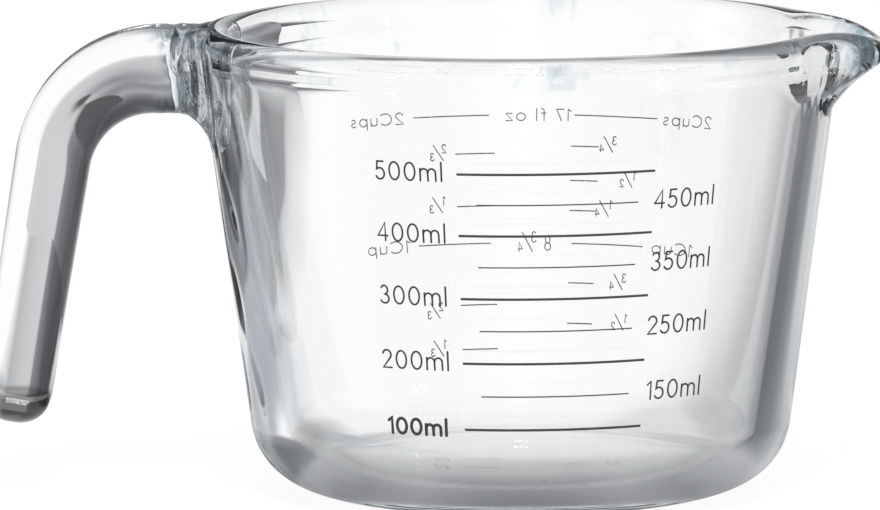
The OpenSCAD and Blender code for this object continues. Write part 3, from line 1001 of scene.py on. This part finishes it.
# Painted shadow of the jug on the floor, round a point under it: outwards, darker to its sides, and not by
# the handle
UNDER_Y = -25 * MM
PAINTED_JUG_SHADOW = (0, 250 * MM, (
    (0, 0.22), (0.05, 0.24), (0.104, 0.42), (0.17, 0.62), (0.24, 0.88), (0.3, 1), (1, 1)))
TO_THE_SIDES = (0, 100 * MM, ((0, 1), (0.2, 1), (0.32, 0.6), (1, 0.6)))
NOT_CLOSE = (0, 250 * MM, ((0, 0), (0.22, 0), (0.28, 1), (1, 1)))
NOT_BY_HANDLE = (-70 * MM, -55 * MM, RISE)
# Painted shade in a spot on the floor by the jug's foot, below the handle: outwards from a point, drawn out
# along Y
FOOT_X, FOOT_Y, FOOT_SQUEEZE = -56 * MM, 4 * MM, 0.45
PAINTED_FOOT_SHADE = (0, 40 * MM, ((0, 0.18), (0.3, 0.2), (0.42, 0.45), (0.6, 1), (1, 1)))
# Across the foot of the card behind the handle and where that foot ends, then up the card
CARD_ACROSS = (-300 * MM, 0, (
    (0, 0.03), (0.333, 0.04), (0.48, 0.07), (0.58, 0.11), (0.633, 0.2), (0.645, 0.25), (0.65, 0.58),
    (0.67, 0.62), (0.683, 0.75), (0.693, 0.9), (1, 1)))
ABOVE_FOOT = (86 * MM, 100 * MM, RISE)
CARD_UP = (50 * MM, 320 * MM, (
    (0, 0.62), (0.03, 0.6), (0.056, 0.48), (0.074, 0.34), (0.096, 0.22), (0.119, 0.26), (0.148, 0.36),
    (0.167, 0.28), (0.196, 0.16), (0.233, 0.07), (0.285, 0.03), (0.315, 0.05), (0.396, 0.07), (0.459, 0.14),
    (0.7, 0.35), (0.98, 0.5)))
# How far down the greys of CARD_UP are moved, in metres, across the card
CARD_MOVED = (-112 * MM, -62 * MM, ((0, 12 * MM), (0.28, 0), (0.8, 0), (1, 12 * MM)))
# A darker patch on the card that the leg's end shows, across and up, and where the card shows at all
PATCH_ACROSS = (-94 * MM, -91 * MM, ((0, 0.04), (1, 1)))
PATCH_UP = (57 * MM, 110 * MM, ((0, 1), (0.15, 0.05), (0.8, 0.04), (1, 0.2)))
SHOWN_ACROSS, SHOWN_UP = (-93 * MM, -91 * MM, FALL), (48 * MM, 56 * MM, RISE)
# Share of the floor's brightness that is its own glow for the camera, and what the lamps point at
FLOOR_GLOW = 0.93
LAMP_AIM = (0, 0, 0.04)


class JUG_OT_stage(bpy.types.Operator):
    """Set up the camera, the pale floor, the lamps and the surroundings"""

    bl_idname = "jug.stage"
    bl_label = "Stage"

    def execute(self, context):
        s, scene = context.scene.jug_stage, context.scene
        self.camera(scene, s)
        self.floor(s)
        self.card(s)
        self.lamps(scene)
        self.surroundings(scene)
        scene.view_settings.view_transform = "Standard"
        scene.cycles.max_bounces = 32
        scene.cycles.transmission_bounces = 32
        scene.cycles.glossy_bounces = 20
        return {"FINISHED"}

    def camera(self, scene, s):
        """The photograph's camera, in front of the jug and a little above it."""
        middle = Vector((0, 0, s.middle_z))
        back = Vector((0, -math.cos(s.camera_height), math.sin(s.camera_height)))
        right = Vector((1, 0, 0))
        up = right.cross(-back)
        where = middle + back * s.camera_distance
        forward = (middle + right * s.aim_x + up * s.aim_z - where).normalized()
        level_up = right * math.sin(s.camera_roll) + up * math.cos(s.camera_roll)
        x_axis = forward.cross(level_up).normalized()
        y_axis = x_axis.cross(forward)
        data = bpy.data.cameras.new("Camera")
        data.lens = s.lens
        data.clip_start, data.clip_end = 0.05, 50
        camera = bpy.data.objects.new("Camera", data)
        scene.collection.objects.link(camera)
        turn = Matrix((x_axis, y_axis, -forward)).transposed().to_4x4()
        camera.matrix_world = Matrix.Translation(where) @ turn
        scene.camera = camera

    def floor(self, s):
        """A pale floor: white with the jug's shadow for the camera; for the glass, the studio's greys and a
        painted shadow of the jug.
        """
        half, z = s.floor_size / 2, -s.floor_gap
        corners = [(-half, -half, z), (half, -half, z), (half, half, z), (-half, half, z)]
        tree = sheet("floor", "Pale floor", corners)
        where = node(tree, "TexCoord").outputs["Object"]
        x, y, _ = node(tree, "SeparateXYZ", {0: where}).outputs
        shade = darker(tree, far_tones(tree, where, x, y), painted_shadow_tones(tree, x, y), painted_foot_shade_tones(tree, x, y))
        path = node(tree, "LightPath")
        seen = path.outputs["Is Camera Ray"]
        paint = node(tree, "BsdfPrincipled", Base_Color=(0.95, 0.95, 0.95, 1), Roughness=0.9)
        lit = calc(tree, "MAXIMUM", through_glass(tree, path), calc(tree, "MULTIPLY", seen, FLOOR_GLOW))
        glow_on(tree, paint, lit, part_way(tree, seen, shade, WHITE))

    def card(self, s):
        """A dark card that hangs behind the handle. Only the glass shows it."""
        x0, x1, y, low, top = -s.card_left, -s.card_right, s.card_behind, s.card_low, s.card_top
        tree = sheet("card", "Card", [(x0, y, low), (x1, y, low), (x1, y, top), (x0, y, top)])
        x, _, z = node(tree, "SeparateXYZ", {0: node(tree, "TexCoord").outputs["Object"]}).outputs
        raised = calc(tree, "ADD", z, ramp(tree, x, *CARD_MOVED))
        foot = lighter(tree, ramp(tree, x, *CARD_ACROSS), ramp(tree, z, *ABOVE_FOOT))
        patch = lighter(tree, ramp(tree, x, *PATCH_ACROSS), ramp(tree, z, *PATCH_UP))
        tone = darker(tree, ramp(tree, raised, *CARD_UP), foot, patch)
        shown = lighter(tree, ramp(tree, x, *SHOWN_ACROSS), ramp(tree, z, *SHOWN_UP))
        hides = calc(tree, "MULTIPLY", through_glass(tree, node(tree, "LightPath")), shown)
        glow_on(tree, node(tree, "BsdfTransparent"), hides, tone)

    def lamps(self, scene):
        """Soft lamps that point at the jug's middle."""
        for name, spot, wide, tall, power in LAMPS:
            data = bpy.data.lights.new(name, "AREA")
            data.shape = "RECTANGLE"
            data.size, data.size_y = wide, tall
            data.energy = power
            lamp = bpy.data.objects.new(name, data)
            scene.collection.objects.link(lamp)
            lamp.location = spot
            lamp.rotation_euler = (Vector(LAMP_AIM) - Vector(spot)).to_track_quat("-Z", "Y").to_euler()

    def surroundings(self, scene):
        """A white studio, whose greys only the glass sees."""
        world = bpy.data.worlds.new("Studio")
        scene.world = world
        world.use_nodes = True
        tree = world.node_tree
        tree.nodes.clear()
        where = node(tree, "TexCoord").outputs["Generated"]
        x, y, z = node(tree, "SeparateXYZ", {0: where}).outputs
        turn = calc(tree, "ABSOLUTE", calc(tree, "ARCTAN2", x, y))
        behind = lighter(tree, ramp(tree, z, *OVERHEAD_BEHIND), ramp(tree, turn, *NOT_BEHIND))
        shade = times(tree, studio_tone(tree, where), ramp(tree, z, *HEIGHT_TONES), behind)
        seen = part_way(tree, through_glass(tree, node(tree, "LightPath")), WHITE, shade)
        sky = node(tree, "Background", {"Color": seen})
        node(tree, "OutputWorld", {"Surface": sky.outputs[0]})


def far_tones(tree, where, x, y):
    """Greys of the floor away from the jug: behind it, beside the handle, and the studio's own in front."""
    turn = calc(tree, "ARCTAN2", x, y)
    behind_handle = calc(tree, "MULTIPLY_ADD", y, HANDLE_LEAN, x)
    beside_handle = calc(tree, "MULTIPLY_ADD", y, GREY_LEAN, x)
    beyond_spout = calc(tree, "MULTIPLY_ADD", calc(tree, "ABSOLUTE", y), SPOUT_LEAN, x)
    spout_side = lighter(tree, ramp(tree, turn, *SPOUT_SIDE), ramp(tree, x, *SPOUT_NEAR))
    back = times(tree, ramp(tree, behind_handle, *HANDLE_SIDE),
                 darker(tree, ramp(tree, beyond_spout, *SPOUT_EDGE), spout_side))
    by_wall = times(tree, ramp(tree, beside_handle, *GREY_ACROSS), ramp(tree, y, *GREY_BACK))
    beside = lighter(tree, by_wall, ramp(tree, turn, *GREY_ROUND))
    return part_way(tree, ramp(tree, turn, *FLOOR_IN_FRONT), part_way(tree, beside, back, SIDE_GREY),
                    studio_tone(tree, where))


def painted_shadow_tones(tree, x, y):
    """Greys of the floor under and close round the jug, which stop short of the handle: a painted shadow of
    the jug.
    """
    away = distance(tree, x, y, 0, UNDER_Y)
    sides = ramp(tree, calc(tree, "ABSOLUTE", x), *TO_THE_SIDES)
    near = times(tree, ramp(tree, away, *PAINTED_JUG_SHADOW), lighter(tree, sides, ramp(tree, away, *NOT_CLOSE)))
    return part_way(tree, ramp(tree, x, *NOT_BY_HANDLE), WHITE, near)


def painted_foot_shade_tones(tree, x, y):
    """Greys of a long dark spot of painted shade on the floor by the jug's foot, below the handle."""
    squeezed = calc(tree, "MULTIPLY", y, FOOT_SQUEEZE)
    return ramp(tree, distance(tree, x, squeezed, FOOT_X, FOOT_Y), *PAINTED_FOOT_SHADE)


def studio_tone(tree, where):
    """Grey of the studio round the jug, by the direction from its axis."""
    name = "Studio tones"
    inner = bpy.data.node_groups.get(name)
    if not inner:
        inner, given, made = group(name, [("Direction", "Vector")], [("Tone", "Color")])
        x, y, _ = node(inner, "SeparateXYZ", {0: given["Direction"]}).outputs
        inner.links.new(ramp(inner, calc(inner, "ARCTAN2", x, y), *ALL_ROUND), made["Tone"])
    return node(tree, "Group", {"Direction": where}, node_tree=inner).outputs["Tone"]


def through_glass(tree, path):
    """A value of 1 for rays that look at a surface through the glass or in its gloss."""
    return calc(tree, "MAXIMUM", path.outputs["Is Glossy Ray"], path.outputs["Is Transmission Ray"])


def glow_on(tree, surface, share, tone):
    """Ends a material of the stage: a surface that gives way to a glow for a share of the light."""
    glow = node(tree, "Emission", {"Color": tone})
    both = node(tree, "MixShader", {0: share, 1: surface.outputs[0], 2: glow.outputs[0]})
    node(tree, "OutputMaterial", {"Surface": both.outputs[0]})


def sheet(name, finish, corners):
    """Adds one flat face to the scene, and gives the empty node tree of its material."""
    piece = new_mesh(name, corners, [[0, 1, 2, 3]], smooth=False)
    material, tree = bare_material(finish)
    piece.data.materials.append(material)
    return tree


class JUG_PT_panel(bpy.types.Panel):
    """Lists the jug's pieces"""

    bl_idname = "JUG_PT_panel"
    bl_label = "Glass measuring jug"
    bl_space_type = "VIEW_3D"
    bl_region_type = "UI"
    bl_category = "Jug"

    def draw(self, context):
        for maker in MAKERS:
            self.layout.operator(maker.bl_idname)
        for owner in SETTINGS:
            box = self.layout.box()
            values = getattr(context.scene, owner)
            for key in values.__annotations__:
                box.prop(values, key)


SETTINGS = {
    "jug_bowl": BowlSettings,
    "jug_handle": HandleSettings,
    "jug_print": PrintSettings,
    "jug_glass": GlassSettings,
    "jug_stage": StageSettings,
}
MAKERS = (JUG_OT_bowl, JUG_OT_handle, JUG_OT_millilitre_print, JUG_OT_cup_print, JUG_OT_stage)
CLASSES = (*SETTINGS.values(), *MAKERS, JUG_PT_panel)


def register():
    for cls in CLASSES:
        bpy.utils.register_class(cls)
    for name, cls in SETTINGS.items():
        setattr(bpy.types.Scene, name, PointerProperty(type=cls))


def unregister():
    for name in SETTINGS:
        delattr(bpy.types.Scene, name)
    for cls in reversed(CLASSES):
        bpy.utils.unregister_class(cls)


def main():
    register()
    bpy.ops.jug.bowl()
    bpy.ops.jug.handle()
    bpy.ops.jug.millilitre_print()
    bpy.ops.jug.cup_print()
    bpy.ops.jug.stage()


if __name__ == "__main__":
    main()
